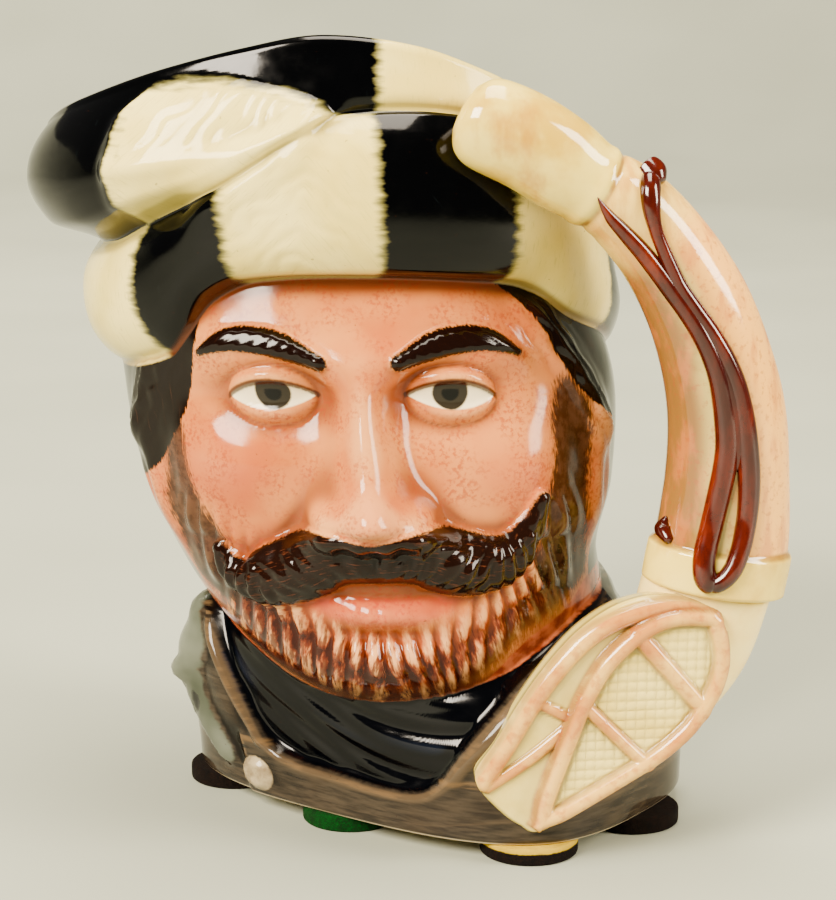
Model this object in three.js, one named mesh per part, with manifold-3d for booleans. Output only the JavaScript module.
// A slip-cast character jug: the head of a trapper in a patched fur hat, on a bust with a
// buttoned coat and a scarf. The handle is a powder horn with a leather thong, and it ends
// in two snowshoes that lie on the coat. The jug is one piece of glazed pottery, open at the
// top, and it stands on five round felt pads stuck under its foot.
// Millimetres, +Z up, the face looks along -Y and the handle is on the +X side.

import * as THREE from "three";
import { mergeVertices } from "three/addons/utils/BufferGeometryUtils.js";
import Module from "manifold-3d";

// Driving dimensions of the pottery
const JUG_HEIGHT = 184.5; // foot to the highest point of the rim
const WALL = 4.2; // thickness of the fired wall, which is fuller under the modelling
const FLOOR_THICKNESS = 6.5;
const FLOOR_FILLET = 5; // inside, where the wall meets the floor
const FOOT_ROUNDING = 1.6; // edge of the foot
const LIP_ROUNDING = 1.3; // outer edge of the rim

// Driving dimensions of the felt pads
const PAD_DIAMETER = 23;
const PAD_THICKNESS = 4;
const PAD_SIDES = 18;

// Driving dimensions of the handle
const HORN_TIP_WIDTH = 21; // across the capped tip
const HORN_NECK_WIDTH = 18.5; // where the cap ends
const HORN_MOUTH_WIDTH = 32; // at the wide end
const HORN_BAND_STEP = 1.1; // how far the band at the wide end stands proud
const HORN_FLATNESS = 0.86; // depth of the horn over its width
const THONG_WIDTH = 6.5;
const SLAB_THICKNESS = 9; // clay behind the snowshoes
const SHOE_LENGTH = 65;
const SHOE_WIDTH = 29.5;
const SHOE_FRAME_WIDTH = 4.1;
const SHOE_FRAME_RELIEF = 2.2;
const SHOE_BAR_WIDTH = 3.8;

// Driving dimensions of the coat
const COAT_STEP = 3.2; // coat edge over the scarf
const STUD_DIAMETER = 8.5;
const STUD_RELIEF = 1.8;

const rad = (degrees) => (degrees * Math.PI) / 180;
const smooth = (low, high, x) => THREE.MathUtils.smoothstep(x, low, high);
const mix = THREE.MathUtils.lerp;
const hump = (x, width) => Math.exp(-((x / width) ** 2));

// A smooth curve through [place, value] pairs, flat beyond the first and the last
function through(pairs, x) {
  const last = pairs.length - 1;
  if (x <= pairs[0][0]) return pairs[0][1];
  if (x >= pairs[last][0]) return pairs[last][1];
  let i = 0;
  while (x > pairs[i + 1][0]) i += 1;
  const slope = (k) => {
    if (k === 0 || k === last) return 0;
    return (pairs[k + 1][1] - pairs[k - 1][1]) / (pairs[k + 1][0] - pairs[k - 1][0]);
  };
  const [x0, y0] = pairs[i];
  const [x1, y1] = pairs[i + 1];
  const span = x1 - x0;
  const t = (x - x0) / span;
  const rise = (y1 - y0) * t * t * (3 - 2 * t);
  return y0 + rise + span * t * (1 - t) * ((1 - t) * slope(i) - t * slope(i + 1));
}

// The smooth larger of two radii, blended over a width
function larger(a, b, width) {
  const t = THREE.MathUtils.clamp(0.5 + (a - b) / (2 * width), 0, 1);
  return mix(b, a, t) + width * t * (1 - t);
}

// Distance from a point to a line of points, and how far along it the nearest place is
function alongPath(x, y, path) {
  let best = { distance: Infinity, along: 0 };
  for (let i = 0; i < path.length - 1; i += 1) {
    const [ax, ay] = path[i];
    const [bx, by] = path[i + 1];
    const dx = bx - ax;
    const dy = by - ay;
    const t = THREE.MathUtils.clamp(((x - ax) * dx + (y - ay) * dy) / (dx * dx + dy * dy), 0, 1);
    const distance = Math.hypot(x - ax - t * dx, y - ay - t * dy);
    if (distance < best.distance) best = { distance, along: (i + t) / (path.length - 1) };
  }
  return best;
}

// A section's radius in a direction: a superellipse with its own reach each way
function section(azimuth, { left, right, front, back, power, turn }) {
  const s = Math.sin(azimuth - rad(turn));
  const c = Math.cos(azimuth - rad(turn));
  const across = Math.abs(s) / (s > 0 ? right : left);
  const deep = Math.abs(c) / (c > 0 ? front : back);
  return (across ** power + deep ** power) ** (-1 / power);
}

// Named reaches of a form at several heights, read off at any height between
function sectionAt(form, height) {
  const at = (key) => through(form.map((row) => [row.height, row[key]]), height);
  return {
    left: at("left"), right: at("right"), front: at("front"), back: at("back"),
    power: at("power"), turn: at("turn"),
  };
}

// The spine that every section is drawn around leans to the left as it rises
const SPINE_X = [[0, 9], [30, 6], [50, 1], [80, -5], [105, -8], [130, -13], [185, -14]];
const SPINE_Y = [[0, 3], [50, 0], [185, 0]];

// The bust faces more to the left than the head does
const BUST = [
  { height: 0, left: 61, right: 59, front: 41, back: 47, power: 2.9, turn: -36 },
  { height: 22, left: 60, right: 60, front: 43, back: 48, power: 2.8, turn: -34 },
  { height: 36, left: 55, right: 56, front: 42, back: 47, power: 2.5, turn: -26 },
  { height: 48, left: 47, right: 50, front: 38, back: 45, power: 2.3, turn: -12 },
  { height: 70, left: 40, right: 42, front: 30, back: 42, power: 2.2, turn: 0 },
];
const HEAD = [
  { height: 24, left: 25, right: 25, front: 26, back: 30, power: 2.2, turn: 0 },
  { height: 30, left: 34, right: 34, front: 39, back: 38, power: 2.2, turn: 0 },
  { height: 38, left: 41, right: 42, front: 46, back: 44, power: 2.2, turn: 0 },
  { height: 50, left: 48, right: 48, front: 49, back: 50, power: 2.2, turn: 0 },
  { height: 62, left: 52.5, right: 49.5, front: 50.5, back: 55, power: 2.25, turn: 0 },
  { height: 78, left: 56.5, right: 56, front: 51.5, back: 58, power: 2.3, turn: 0 },
  { height: 98, left: 58.5, right: 59, front: 52, back: 60, power: 2.3, turn: 0 },
  { height: 118, left: 57.5, right: 57.5, front: 51, back: 60, power: 2.3, turn: 0 },
  { height: 140, left: 56, right: 54, front: 46, back: 54, power: 2.2, turn: 0 },
];
const HAT = [
  { height: 96, left: 59, right: 58, front: 48, back: 58, power: 2.2, turn: 0 },
  { height: 118, left: 59, right: 60, front: 52, back: 60, power: 2.2, turn: 0 },
  { height: 134, left: 57.5, right: 58.5, front: 53, back: 60, power: 2.2, turn: 0 },
  { height: 150, left: 61, right: 59, front: 53, back: 58, power: 2.15, turn: 0 },
  { height: 166, left: 63, right: 57, front: 51.5, back: 55, power: 2.1, turn: 0 },
  { height: 185, left: 58, right: 51, front: 48, back: 50, power: 2.1, turn: 0 },
];

// Edges that run around the jug, as heights over azimuth in degrees from the face's front
const COAT_EDGE = [
  [-180, 56], [-110, 52], [-82, 46], [-74, 37], [-66, 23], [-61, 15], [-52, 11.8], [-40, 11],
  [-17, 9.8], [-5, 10.5], [1, 14], [6, 20], [14, 28], [29, 39], [42, 45], [58, 50], [110, 54],
  [180, 56],
];
const HAT_EDGE = [
  [-180, 92], [-110, 102], [-80, 107], [-62, 109], [-47, 113], [-40, 119], [-33, 126.5],
  [-22, 131], [10, 132], [40, 130], [48, 128], [60, 120.5], [80, 114], [110, 104], [180, 92],
];
const CREASE = [
  [-180, 150], [-115, 139], [-86, 135], [-62, 137], [-50, 141], [-38, 146], [-25, 152],
  [-10, 162], [2, 167], [30, 167], [60, 160], [110, 152], [180, 150],
];
const RIM = [
  [-180, 170], [-125, 161], [-92, 161.5], [-66, 169.5], [-45, 176.5], [-25, 181.5], [-4, 184.5],
  [22, 182], [42, 176], [62, 168], [90, 163], [130, 167], [180, 170],
];
const edge = (line, azimuth) => through(line, (azimuth * 180) / Math.PI);

// The head and bust are laid out up to the rim's highest point, and grow to the jug's height
const LAYOUT_HEIGHT = Math.max(...RIM.map(([, height]) => height));
const grow = JUG_HEIGHT / LAYOUT_HEIGHT;

// Proportions of the face, by the usual rules for drawing a head: the eyes halfway up, the
// face five eyes wide, and equal thirds from brow to nose and from nose to chin
const CHIN = 0.179 * LAYOUT_HEIGHT;
const SKULL_TOP = 0.96 * LAYOUT_HEIGHT;
const FACE_WIDTH = 0.553 * LAYOUT_HEIGHT;
const skull = SKULL_TOP - CHIN;
const third = 0.275 * skull;
const EYE_LINE = CHIN + 0.5 * skull;
const NOSE_BASE = CHIN + third;
const BROW = CHIN + 2 * third;
const MOUTH = NOSE_BASE - third / 3;
const EYE_WIDTH = FACE_WIDTH / 5;

const faceLine = (height) => -2 - 0.09 * (height - CHIN);

const MOUSTACHE_RIGHT = [[0, 69], [9, 70], [18, 67.5], [26, 67.5], [32, 71.5], [36.5, 81]];
const MOUSTACHE_LEFT = [[0, 69], [-9, 69.5], [-18, 65.5], [-26, 62.5], [-31, 63.5], [-34.5, 68.5]];
const EYEBROW = [
  [0.42 * EYE_WIDTH, BROW + 1], [0.9 * EYE_WIDTH, BROW + 5], [1.35 * EYE_WIDTH, BROW + 5.5],
  [1.72 * EYE_WIDTH, BROW + 2],
];

// Carving of the face, as a rise of the surface at a place across and up the face
function nose(across, height) {
  const bridge = through([
    [NOSE_BASE - 3, 0], [NOSE_BASE + 1, 8], [NOSE_BASE + 6, 15], [NOSE_BASE + 16, 11.5],
    [EYE_LINE, 6], [BROW, 1.5], [BROW + 8, 0],
  ], height);
  const halfWidth = through([[NOSE_BASE, 8.4], [EYE_LINE, 5.4], [BROW, 9]], height);
  const body = bridge * hump(across, halfWidth);
  const ball = 2.8 * hump(across, 7) * hump(height - NOSE_BASE - 5.5, 6);
  const wing = 5.4 * hump(Math.abs(across) - 9.4, 4.2) * hump(height - NOSE_BASE - 4.5, 5);
  return body + ball + wing;
}

function eyes(across, height) {
  const side = Math.abs(across);
  const socket = -5.6 * hump(side - EYE_WIDTH, 13) * hump(height - EYE_LINE, 8.5);
  const corner = -1.6 * hump(side - 0.55 * EYE_WIDTH, 6) * hump(height - EYE_LINE - 1, 7);
  const reach = ((side - EYE_WIDTH) / 10.5) ** 2 + ((height - EYE_LINE) / 7) ** 2;
  const ball = 5.2 * Math.max(0, 1 - reach) ** 0.8;
  const ridge = 3.2 * hump(height - BROW - 1, 6) * (1 - smooth(26, 42, side));
  return socket + corner + ball + ridge;
}

function mouth(across, height) {
  const side = Math.abs(across);
  const muzzle = 3.4 * hump(across, 23) * hump(height - MOUTH, 15);
  const lower = 2.6 * hump(across, 11) * hump(height - MOUTH + 4.2, 3.2);
  const under = -1.8 * hump(across, 12) * hump(height - MOUTH + 9.5, 2.8);
  const chin = 4.6 * hump(across, 15) * hump(height - CHIN - 9, 8);
  const cheek = 3.2 * hump(side - 33, 12) * hump(height - NOSE_BASE - 15, 12);
  const fold = -1.4 * hump(side - 19 - 0.45 * (NOSE_BASE - height), 2.6)
    * hump(height - NOSE_BASE + 1, 10);
  return muzzle + lower + under + chin + cheek + fold;
}

function moustache(across, height) {
  const { distance, along } = alongPath(
    across, height, across > 0 ? MOUSTACHE_RIGHT : MOUSTACHE_LEFT,
  );
  const halfWidth = through([[0, 5.6], [0.3, 7.8], [0.55, 6.8], [0.8, 4], [1, 1.6]], along);
  const full = Math.sqrt(Math.max(0, 1 - (distance / (halfWidth + 0.6)) ** 2));
  const parting = 1 - 0.3 * hump(across, 2.4);
  return through([[0, 7], [0.5, 6.4], [1, 3.4]], along) * full * parting;
}

function eyebrows(across, height) {
  const { distance, along } = alongPath(Math.abs(across), height, EYEBROW);
  return 2 * hump(distance, 3.2) * (1 - 0.3 * along);
}

// The lower edge of the beard, and locks of the beard along the jaw
function beard(across, height) {
  const jaw = CHIN + 4 + 22 * smooth(10, 46, Math.abs(across));
  const locks = 0.55 + 0.45 * Math.cos((across * Math.PI) / 3.2);
  return 1.4 * hump(height - jaw - 6, 8) * locks * (1 - smooth(44, 52, Math.abs(across)));
}

// An ear, half under the lock of hair that runs down to it from the hat, and the hood of
// the hat that hangs behind both
function besideFace(azimuth, height) {
  const side = Math.abs((azimuth * 180) / Math.PI);
  const ear = 3.6 * hump(side - 62, 5.5) * hump(height - NOSE_BASE - 9, 13);
  const hollow = -2 * hump(side - 63, 2.4) * hump(height - NOSE_BASE - 9, 7);
  const lock = 2.6 * hump(side - through([[90, 62], [125, 49]], height), 6)
    * smooth(86, 96, height) * (1 - smooth(122, 130, height));
  return ear + hollow + lock;
}

// Scarf folds, which sag between the two sides of the coat
function scarf(azimuth, height) {
  const side = (azimuth * 180) / Math.PI + 4;
  const sag = 0.003 * side * side;
  return 0.6 * Math.cos((height - sag) * 0.62) * hump(side, 60);
}

// The crown folds over to the left into a wide lobe
function crown(azimuth, height, crease, rim) {
  const degrees = (azimuth * 180) / Math.PI;
  const up = THREE.MathUtils.clamp((height - crease) / (rim - crease), 0, 1);
  const full = Math.sin(Math.PI * (0.14 + 0.8 * up)) ** 0.7;
  const lobe = 13.5 * hump(degrees + 90, 34) * full;
  const shoulder = 7 * hump(degrees + 46, 24) * hump(up - 0.35, 0.5);
  return (lobe + shoulder) * smooth(0, 0.16, up) - 2 * hump(up, 0.16) * smooth(-14, 6, degrees);
}

// A tail of fur lies along the lobe, with its top edge and its rib standing up
const TAIL_TOP = [[-50, 167], [-43, 173], [-30, 175], [-16, 173.5], [-6, 171], [4, 166]];
const TAIL_RIB = [[-48, 155], [-34, 157], [-18, 161], [2, 167]];
function tail(azimuth, height) {
  const degrees = (azimuth * 180) / Math.PI;
  const top = through(TAIL_TOP, degrees);
  const within = smooth(-51, -46, degrees) * (1 - smooth(0, 5, degrees));
  const sheet = 1.8 * (1 - smooth(top - 1.5, top + 0.8, height));
  const rib = 1.3 * hump(height - through(TAIL_RIB, degrees), 2.6);
  return within * (sheet + rib) * smooth(-1, 2, height - edge(CREASE, azimuth));
}

// The fur of the tail hangs over the crease and closes it above the light front patch
function drape(azimuth, height) {
  const degrees = (azimuth * 180) / Math.PI;
  const within = smooth(-37, -27, degrees) * (1 - smooth(-8, 0, degrees));
  return 4.4 * within * hump(height - edge(CREASE, azimuth), 5.5);
}

function roll(height, low, high) {
  const up = THREE.MathUtils.clamp((height - low) / (high - low), 0, 1);
  return 5.2 * (1 - Math.abs(2 * up - 1) ** 3.2);
}

function stud(azimuth, height) {
  const side = Math.hypot((azimuth - rad(-65)) * 48, height - 6);
  return STUD_RELIEF * (1 - smooth(0.36 * STUD_DIAMETER, 0.52 * STUD_DIAMETER, side));
}

// A toggle hangs on the left side of the coat, and a strap runs along its lower edge
function coatTrim(azimuth, height) {
  const degrees = (azimuth * 180) / Math.PI;
  const bead = 4.6 * hump(Math.hypot(degrees + 89, 0.8 * (height - 34)), 6.5);
  const peg = alongPath(degrees, height, [[-88, 27], [-78, 12]]);
  const toggle = 3.4 * hump(peg.distance, 5);
  const strap = 1.2 * smooth(-71.5, -69, degrees) * (1 - smooth(20, 40, degrees))
    * (1 - smooth(14, 18, height));
  const lapel = 1.3 * hump(height - edge(COAT_EDGE, azimuth) + 3, 4) * smooth(15, 22, height);
  return bead + toggle + strap + lapel;
}

// Radius of the outside at an azimuth and a height, in the layout's millimetres
function outside(azimuth, height) {
  const coatEdge = edge(COAT_EDGE, azimuth);
  const hatEdge = edge(HAT_EDGE, azimuth);
  const crease = edge(CREASE, azimuth);
  const rim = edge(RIM, azimuth);
  const bust = section(azimuth, sectionAt(BUST, height));
  const inCoat = 1 - smooth(coatEdge - 1, coatEdge + 1, height);
  const dressed = bust + (inCoat - 1) * (COAT_STEP / grow)
    + inCoat * (stud(azimuth, height) + coatTrim(azimuth, height))
    + (1 - inCoat) * scarf(azimuth, height);
  const headRadius = section(azimuth, sectionAt(HEAD, height));
  const across = through(SPINE_X, height) + headRadius * Math.sin(azimuth) - faceLine(height);
  const facing = 1 - smooth(rad(48), rad(58), Math.abs(azimuth));
  const carving = nose(across, height) + eyes(across, height) + mouth(across, height)
    + moustache(across, height) + eyebrows(across, height) + beard(across, height);
  const shoulder = 7 * hump((azimuth - rad(60)) / rad(18), 1) * hump(height - 42, 9);
  const head = headRadius + facing * carving + besideFace(azimuth, height);
  const below = larger(head, dressed + shoulder, 1.2);
  const hat = section(azimuth, sectionAt(HAT, height))
    + (height < crease ? roll(height, hatEdge, crease) : crown(azimuth, height, crease, rim))
    + tail(azimuth, height) + drape(azimuth, height);
  return mix(below, hat, smooth(hatEdge - 0.8, hatEdge + 1.2, height));
}

// Rows of the outside follow the edges, so that each edge falls between two rows
function outsideRows(azimuth) {
  const edges = [
    edge(COAT_EDGE, azimuth), edge(HAT_EDGE, azimuth), edge(CREASE, azimuth), edge(RIM, azimuth),
  ];
  const gap = 1.2;
  const bands = [
    [0, edges[0] - gap, 5], [edges[0] + gap, edges[1] - gap, 26],
    [edges[1] + gap, edges[2] - gap / 2, 6], [edges[2] + gap, edges[3] - LIP_ROUNDING / grow, 7],
  ];
  return bands.flatMap(([low, high, count]) =>
    Array.from({ length: count }, (unused, i) => mix(low, high, i / (count - 1))));
}

// A wall's inside is clear of every outside point by the wall's thickness
function clearInside(azimuth, height) {
  const radius = outside(azimuth, height);
  let least = Infinity;
  for (const turn of [-1, 0, 1]) {
    for (const rise of [-1, -0.5, 0, 0.5, 1]) {
      const reach = WALL / grow;
      const lean = reach * Math.sqrt(Math.max(0, 1 - (turn * turn + rise * rise) / 1.45));
      const there = outside(azimuth + (0.6 * turn * reach) / radius, height + rise * reach);
      least = Math.min(least, there - lean);
    }
  }
  return least;
}

function place(azimuth, radius, height) {
  const x = through(SPINE_X, height) + radius * Math.sin(azimuth);
  const y = through(SPINE_Y, height) - radius * Math.cos(azimuth);
  return new THREE.Vector3(x, y, height).multiplyScalar(grow);
}

// Azimuths, closest together at the middle of the face and widest apart behind
function azimuths(frontCount, backCount, frontReach) {
  const front = Array.from({ length: frontCount }, (unused, i) => {
    const share = mix(-1, 1, i / frontCount);
    return frontReach * (0.62 * share + 0.38 * share ** 3);
  });
  const back = Array.from({ length: backCount }, (unused, i) =>
    mix(frontReach, 360 - frontReach, i / backCount));
  return [...front, ...back].map((degrees) => rad(degrees > 180 ? degrees - 360 : degrees));
}

// A closed body from rings of points, the lowest first, with a point at each end
function closedBody(rings) {
  const columns = rings[0].length;
  const middle = (ring) => ring.reduce((sum, p) => sum.add(p), new THREE.Vector3())
    .divideScalar(columns);
  const points = [...rings.flat(), middle(rings[0]), middle(rings[rings.length - 1])];
  const low = points.length - 2;
  const high = points.length - 1;
  const triangles = [];
  for (let i = 0; i < columns; i += 1) {
    const next = (i + 1) % columns;
    triangles.push(low, next, i);
    for (let row = 0; row < rings.length - 1; row += 1) {
      const a = row * columns + i;
      const b = row * columns + next;
      const c = a + columns;
      const d = b + columns;
      if (points[a].distanceTo(points[d]) < points[b].distanceTo(points[c])) {
        triangles.push(a, b, d, a, d, c);
      } else {
        triangles.push(a, b, c, b, d, c);
      }
    }
    const top = (rings.length - 1) * columns;
    triangles.push(high, top + i, top + next);
  }
  const geometry = new THREE.BufferGeometry().setFromPoints(points);
  geometry.setIndex(triangles);
  return geometry;
}

// Booleans
const wasm = await Module();
wasm.setup();

function toSolid(geometry) {
  const bare = geometry.clone();
  bare.deleteAttribute("normal");
  bare.deleteAttribute("uv");
  const merged = mergeVertices(bare, 1e-4);
  return new wasm.Manifold(new wasm.Mesh({
    numProp: 3,
    vertProperties: new Float32Array(merged.attributes.position.array),
    triVerts: new Uint32Array(merged.index.array),
  }));
}

function toGeometry(solid) {
  const mesh = solid.getMesh();
  const geometry = new THREE.BufferGeometry();
  geometry.setAttribute("position", new THREE.BufferAttribute(mesh.vertProperties, 3));
  geometry.setIndex(new THREE.BufferAttribute(mesh.triVerts, 1));
  geometry.computeVertexNormals();
  return geometry;
}

const FRONT_COLUMNS = 42;
const BACK_COLUMNS = 16;
const FRONT_REACH = 84;
const CAVITY_FRONT_COLUMNS = 20;
const CAVITY_BACK_COLUMNS = 9;
const FACET_SHARE = 0.25; // of a cavity facet's length, kept clear beyond each of its corners

function outerBody() {
  const turns = azimuths(FRONT_COLUMNS, BACK_COLUMNS, FRONT_REACH);
  const columns = turns.map((azimuth) => {
    const rows = outsideRows(azimuth);
    const rim = edge(RIM, azimuth);
    const foot = outside(azimuth, 0);
    const top = outside(azimuth, rows[rows.length - 1]);
    const ring = rows.map((height) => place(azimuth, outside(azimuth, height), height));
    ring[0] = place(azimuth, foot - FOOT_ROUNDING / grow, 0);
    ring.splice(1, 0, place(azimuth, foot, FOOT_ROUNDING / grow));
    ring.push(place(azimuth, top - LIP_ROUNDING / grow, rim));
    return ring;
  });
  return closedBody(columns[0].map((unused, row) => columns.map((column) => column[row])));
}

// The cavity's facets are long, so each of its points also stays clear some way along them
function inside(azimuth, height, turnReach, riseReach, highest) {
  const shares = [-1, -0.5, 0, 0.5, 1];
  const nearby = shares.flatMap((turn) => shares.map((rise) =>
    clearInside(azimuth + turn * turnReach, Math.min(height + rise * riseReach, highest))));
  return Math.min(...nearby);
}

function cavity() {
  const turns = azimuths(CAVITY_FRONT_COLUMNS, CAVITY_BACK_COLUMNS, FRONT_REACH);
  const floor = FLOOR_THICKNESS / grow;
  const fillet = FLOOR_FILLET / grow;
  const columns = turns.map((azimuth, i) => {
    const next = turns[(i + 1) % turns.length];
    const turnReach = Math.min(FACET_SHARE * Math.abs(next - azimuth), rad(3));
    const rim = edge(RIM, azimuth);
    // A row follows each of the two valleys in the outside, so that the wall stays full there
    const bands = [
      [floor + fillet, edge(COAT_EDGE, azimuth) + 1, 3],
      [edge(COAT_EDGE, azimuth) + 6, edge(HAT_EDGE, azimuth) - 1, 7],
      [edge(HAT_EDGE, azimuth) + 11, edge(CREASE, azimuth), 3],
      [edge(CREASE, azimuth) + 6, rim - 1, 4],
    ];
    const ring = bands.flatMap(([low, high, count]) => {
      const step = (high - low) / (count - 1);
      return Array.from({ length: count }, (unused, row) => {
        const height = low + row * step;
        return [inside(azimuth, height, turnReach, FACET_SHARE * step, rim), height];
      });
    });
    const [lowest] = ring[0];
    const [highest] = ring[ring.length - 1];
    return [[lowest - fillet, floor], ...ring, [highest, rim + 12]].map(
      ([radius, height]) => place(azimuth, radius, height));
  });
  return closedBody(columns[0].map((unused, row) => columns.map((column) => column[row])));
}

// A tube along a smooth path, whose section may change on the way
function sweptBody(path, sides, steps, sectionOf, facing) {
  const curve = new THREE.CatmullRomCurve3(path.map((p) => new THREE.Vector3(...p)));
  const rings = [];
  for (let i = 0; i <= steps; i += 1) {
    const t = i / steps;
    const centre = curve.getPoint(t);
    const forward = curve.getTangent(t);
    const outward = new THREE.Vector3(...facing).addScaledVector(
      forward, -new THREE.Vector3(...facing).dot(forward)).normalize();
    const sideways = new THREE.Vector3().crossVectors(outward, forward);
    const { width, depth } = sectionOf(t);
    rings.push(Array.from({ length: sides }, (unused, k) => {
      const turn = (2 * Math.PI * k) / sides;
      return centre.clone()
        .addScaledVector(sideways, (Math.cos(turn) * width) / 2)
        .addScaledVector(outward, (Math.sin(turn) * depth) / 2);
    }));
  }
  return closedBody(rings.map((ring) => ring.map((p) => p.multiplyScalar(grow))));
}

// Centre line of the powder horn, from its capped tip over the hat to its wide end
const HORN_PATH = [
  [13.5, -52, 169], [19, -53, 166], [29, -52.5, 161], [42, -50.5, 152.2], [50, -48.5, 147],
  [60, -45, 135.8], [68, -42, 121], [73.5, -39, 103], [75, -37.5, 84], [74, -37, 70],
  [72, -37.3, 57],
];
const HORN_FACING = [0.35, -0.93, 0];
const CAP_END = 0.315;
const BAND_START = 0.915;

function hornWidth(t) {
  const tapered = through([
    [0, 6 / grow], [0.012, 0.55 * HORN_TIP_WIDTH], [0.05, 0.86 * HORN_TIP_WIDTH],
    [0.12, HORN_TIP_WIDTH], [0.24, HORN_TIP_WIDTH], [CAP_END, HORN_NECK_WIDTH],
    [BAND_START, HORN_MOUTH_WIDTH], [1, HORN_MOUTH_WIDTH],
  ], t);
  const band = 2 * HORN_BAND_STEP * smooth(BAND_START - 0.01, BAND_START + 0.02, t);
  return (tapered + band) / grow;
}

function horn() {
  return sweptBody(HORN_PATH, 12, 24, (t) => {
    const width = hornWidth(t);
    return { width, depth: width * HORN_FLATNESS };
  }, HORN_FACING);
}

// The thong is tied round the horn's neck in a fork, and hangs along its front as a loop
function onHorn(t, aside) {
  const curve = new THREE.CatmullRomCurve3(HORN_PATH.map((p) => new THREE.Vector3(...p)));
  const centre = curve.getPoint(t);
  const forward = curve.getTangent(t);
  const outward = new THREE.Vector3(...HORN_FACING).addScaledVector(
    forward, -new THREE.Vector3(...HORN_FACING).dot(forward)).normalize();
  const sideways = new THREE.Vector3().crossVectors(outward, forward);
  const half = hornWidth(t) / 2;
  const depth = half * HORN_FLATNESS * Math.sqrt(Math.max(0, 1 - aside * aside));
  return centre.addScaledVector(sideways, half * aside).addScaledVector(outward, depth).toArray();
}

function thongs() {
  const width = THONG_WIDTH / grow;
  const strand = (places, share) => sweptBody(
    places.map(([t, aside]) => onHorn(t, aside)), 6, 13,
    (t) => {
      const taper = Math.min(1, 0.35 + 6 * t, 0.35 + 6 * (1 - t));
      return { width: width * share * taper, depth: width * share * taper };
    }, HORN_FACING);
  return [
    strand([[0.383, 0.85], [0.391, 0.44], [0.413, 0.06], [0.436, -0.16], [0.47, -0.32],
      [0.527, -0.43], [0.593, -0.28], [0.65, -0.14], [0.745, -0.12], [0.85, -0.14],
      [0.924, -0.24], [0.965, -0.4]], 0.85),
    strand([[0.3, -0.3], [0.342, -0.51], [0.404, -0.61], [0.52, -0.59], [0.586, -0.47],
      [0.642, -0.41], [0.743, -0.42], [0.791, -0.52], [0.857, -0.58], [0.924, -0.59],
      [0.965, -0.46]], 0.9),
  ];
}

// Below the horn's band the handle narrows as it runs behind the snowshoes to the coat
const ROOT_PATH = [[71.5, -36, 60], [66.5, -35, 44], [54.5, -38.3, 31], [42, -41, 17]];
function root() {
  return sweptBody(ROOT_PATH, 12, 6, (t) => {
    const width = (through([[0, 0.97], [0.35, 0.94], [0.7, 0.88], [1, 0.8]], t) * HORN_MOUTH_WIDTH) / grow;
    return { width, depth: width * HORN_FLATNESS };
  }, HORN_FACING);
}

// The snowshoes lie in a plane of their own, turned outward: x across, y from tail to toe
const SHOE_TAIL = new THREE.Vector3(30.6, -54.8, 5.5);
const SHOE_TOE = new THREE.Vector3(70, -49.8, 52.5);
const SHOE_FACING = new THREE.Vector3(0.2, -0.97, 0);

function shoePlane() {
  const along = SHOE_TOE.clone().sub(SHOE_TAIL).normalize();
  const outward = SHOE_FACING.clone()
    .addScaledVector(along, -SHOE_FACING.dot(along)).normalize();
  const across = new THREE.Vector3().crossVectors(along, outward);
  const origin = SHOE_TAIL.clone().multiplyScalar(grow);
  return new THREE.Matrix4().makeBasis(across, along, outward).setPosition(origin);
}

// Half the width of a snowshoe, as a share of its widest, from its tail to its toe
const SHOE_OUTLINE = [
  [0, 0.09], [0.09, 0.29], [0.25, 0.56], [0.35, 0.72], [0.45, 0.87], [0.55, 0.97], [0.64, 1],
  [0.77, 0.92], [0.85, 0.79], [0.91, 0.61], [0.97, 0.3], [1, 0.1],
];

function shoeOutline(inset) {
  const count = 12;
  const half = SHOE_WIDTH / 2 - inset;
  const side = Array.from({ length: count }, (unused, i) => {
    const y = i / (count - 1);
    return [half * through(SHOE_OUTLINE, y), 1.6 * inset + y * (SHOE_LENGTH - 2.6 * inset)];
  });
  const mirrored = side.map(([x, y]) => [-x, y]).reverse();
  return [...side, ...mirrored].map(([x, y]) => new THREE.Vector2(x, y));
}

function extruded(outline, holes, depth, low) {
  const shape = new THREE.Shape(outline);
  shape.holes = holes.map((hole) => new THREE.Path(hole));
  const geometry = new THREE.ExtrudeGeometry(shape, { depth, bevelEnabled: false });
  geometry.translate(0, 0, low);
  return geometry;
}

// A crossbar sits in the plate and stands a little lower than the frame
function bar(y, halfLength, sink) {
  const depth = SHOE_FRAME_RELIEF + sink;
  const geometry = new THREE.BoxGeometry(2 * halfLength, SHOE_BAR_WIDTH, depth);
  return geometry.translate(0, y, depth / 2 - sink - 0.4);
}

// One snowshoe: a plate of clay with a raised frame and two crossbars
function snowshoe(plateThickness) {
  const sink = 1;
  const plate = extruded(shoeOutline(0.8), [], plateThickness, -plateThickness);
  const frame = extruded(
    shoeOutline(0), [shoeOutline(SHOE_FRAME_WIDTH).reverse()], SHOE_FRAME_RELIEF + sink, -sink);
  const bars = [
    bar(0.44 * SHOE_LENGTH, 0.4 * SHOE_WIDTH, sink), bar(0.73 * SHOE_LENGTH, 0.44 * SHOE_WIDTH, sink),
  ];
  return [plate, frame, ...bars];
}

// The plate under both, cut off in one curve at the tails
const SLAB_OUTLINE = [
  [4, 3], [7, 14], [6, 30], [2, 48], [-8, 57], [-15.5, 53.5], [-20, 46], [-21.5, 36], [-21, 26],
  [-19.6, 14], [-19, 3], [-12.6, -1], [-4, -1.5],
];

// The shoe behind is turned away, so it looks narrower
const BEHIND_NARROWING = 0.66;
const BEHIND_TURN = -5;
const BEHIND_SHIFT = -15.6;

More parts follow.
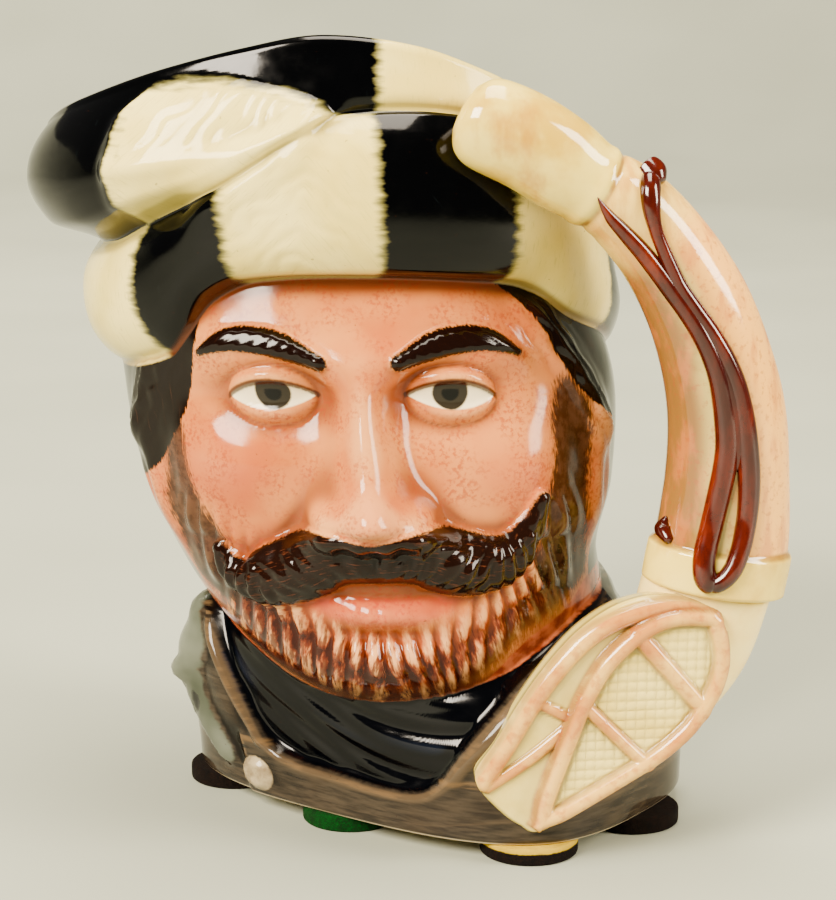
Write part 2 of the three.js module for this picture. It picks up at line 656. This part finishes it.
function snowshoes() {
  const front = shoePlane();
  const behindShift = new THREE.Matrix4().makeTranslation(
    BEHIND_SHIFT * grow, 0.5 * grow, -0.6 * SHOE_FRAME_RELIEF);
  const behindTurn = new THREE.Matrix4().makeRotationZ(rad(BEHIND_TURN));
  const narrowing = new THREE.Matrix4().makeScale(BEHIND_NARROWING, 1, 1);
  const behind = front.clone().multiply(behindShift).multiply(behindTurn).multiply(narrowing);
  const placed = (pieces, matrix) => pieces.map((piece) => piece.applyMatrix4(matrix));
  const between = extruded(
    SLAB_OUTLINE.map(([x, y]) => new THREE.Vector2(x * grow, y * grow)), [],
    SLAB_THICKNESS - SHOE_FRAME_RELIEF, -SLAB_THICKNESS);
  return [
    ...placed(snowshoe(SLAB_THICKNESS), front),
    ...placed(snowshoe(SLAB_THICKNESS - SHOE_FRAME_RELIEF), behind),
    ...placed([between], front),
  ];
}

const glaze = (colour) => new THREE.MeshStandardMaterial({ color: colour, roughness: 0.15, metalness: 0 });
const felt = (colour) => new THREE.MeshStandardMaterial({ color: colour, roughness: 0.95, metalness: 0 });

function pottery() {
  const added = [horn(), root(), ...thongs(), ...snowshoes()];
  const solid = added.reduce((sum, piece) => sum.add(toSolid(piece)), toSolid(outerBody()));
  const hollow = solid.subtract(toSolid(cavity()));
  const mesh = new THREE.Mesh(toGeometry(hollow), glaze(0xcfa58a));
  mesh.name = "jug";
  mesh.position.z = PAD_THICKNESS;
  return mesh;
}

// The pads are stuck on by hand, so each stands out from the foot's outline by its own amount
const BROWN = 0x2c211b;
const GREEN = 0x0d5a2c;
const PADS = [
  { name: "pad_front_left", azimuth: -42, overhang: 0.5, colour: GREEN },
  { name: "pad_front_right", azimuth: 25, overhang: 2, colour: BROWN },
  { name: "pad_right", azimuth: 62, overhang: 5, colour: BROWN },
  { name: "pad_left", azimuth: -98, overhang: 2.5, colour: BROWN },
  { name: "pad_back", azimuth: 165, overhang: -2.5, colour: BROWN },
];

function pad({ name, azimuth, overhang, colour }) {
  const geometry = new THREE.CylinderGeometry(
    PAD_DIAMETER / 2, PAD_DIAMETER / 2, PAD_THICKNESS, PAD_SIDES);
  geometry.rotateX(Math.PI / 2);
  const mesh = new THREE.Mesh(geometry, felt(colour));
  const reach = outside(rad(azimuth), 0) + (overhang - PAD_DIAMETER / 2) / grow;
  mesh.position.copy(place(rad(azimuth), reach, 0)).setZ(PAD_THICKNESS / 2);
  mesh.name = name;
  return mesh;
}

// The origin is on the table, under the middle of the whole jug
function character_jug() {
  const group = new THREE.Group();
  group.add(pottery(), ...PADS.map(pad));
  const box = new THREE.Box3().setFromObject(group, true);
  const middle = box.getCenter(new THREE.Vector3());
  for (const piece of group.children) {
    piece.position.x -= middle.x;
    piece.position.y -= middle.y;
  }
  return group;
}

export default character_jug();
